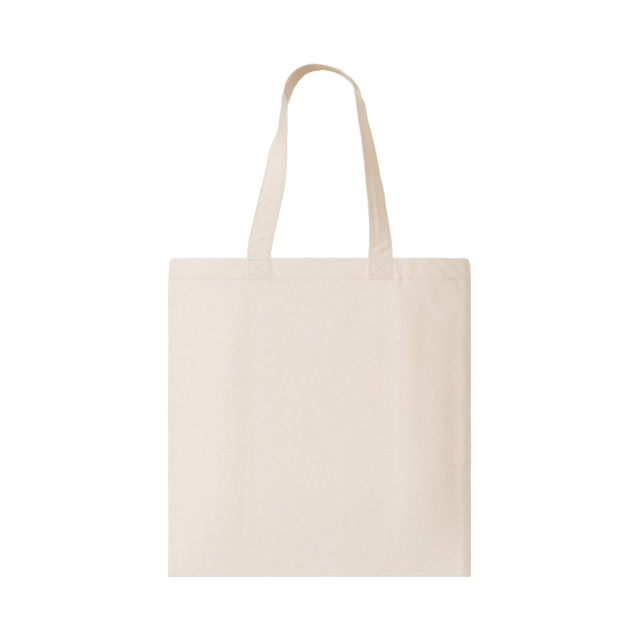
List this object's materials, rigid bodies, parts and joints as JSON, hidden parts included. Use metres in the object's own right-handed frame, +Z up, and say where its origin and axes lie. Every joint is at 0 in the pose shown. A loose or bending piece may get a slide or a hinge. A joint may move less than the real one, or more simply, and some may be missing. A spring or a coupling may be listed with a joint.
{
  "type": "canvas tote bag",
  "caption": "Flat open-topped canvas tote bag with a folded bottom, a stitched hem and long strap handles, hanging from a hook.",
  "frame": {"origin": "where the two handles rest on a hook: the underside of their highest point, on the bag's middle plane", "axes": "+X across the bag to the right as seen from the front, +Y from the front panel to the rear one, +Z up"},
  "size_m": [0.38, 0.0618, 0.6451],
  "materials": {
    "canvas": "unbleached plain-weave cotton canvas, matt, with dark cotton flecks",
    "strap": "the same canvas folded into a strap, matt",
    "thread": "natural spun sewing thread"
  },
  "bodies": {
    "bag": {"front_panel": "canvas", "rear_panel": "canvas", "bottom_fold": "canvas", "front_hem": "canvas", "rear_hem": "canvas", "left_side_seam": "canvas", "right_side_seam": "canvas", "left_seam_stitch": "thread", "right_seam_stitch": "thread", "left_seam_overlock": "thread", "right_seam_overlock": "thread", "front_hem_stitch": "thread", "rear_hem_stitch": "thread", "front_left_box_stitch": "thread", "front_right_box_stitch": "thread", "rear_left_box_stitch": "thread", "rear_right_box_stitch": "thread", "front_handle_left_end": "strap", "front_handle_right_end": "strap", "rear_handle_left_end": "strap", "rear_handle_right_end": "strap"},
    "front_loop": {"front_handle": "strap", "front_handle_inner_topstitch": "thread", "front_handle_outer_topstitch": "thread"},
    "rear_loop": {"rear_handle": "strap", "rear_handle_inner_topstitch": "thread", "rear_handle_outer_topstitch": "thread"}
  },
  "joints": [
    {"name": "front_handle_swing", "type": "hinge", "parent": "bag", "child": "front_loop", "pos_m": [0, -0.0212, -0.234], "axis": [1, 0, 0], "range_deg": [0, 165]},
    {"name": "rear_handle_swing", "type": "hinge", "parent": "bag", "child": "rear_loop", "pos_m": [0, 0.0212, -0.234], "axis": [-1, 0, 0], "range_deg": [0, 165]}
  ]
}
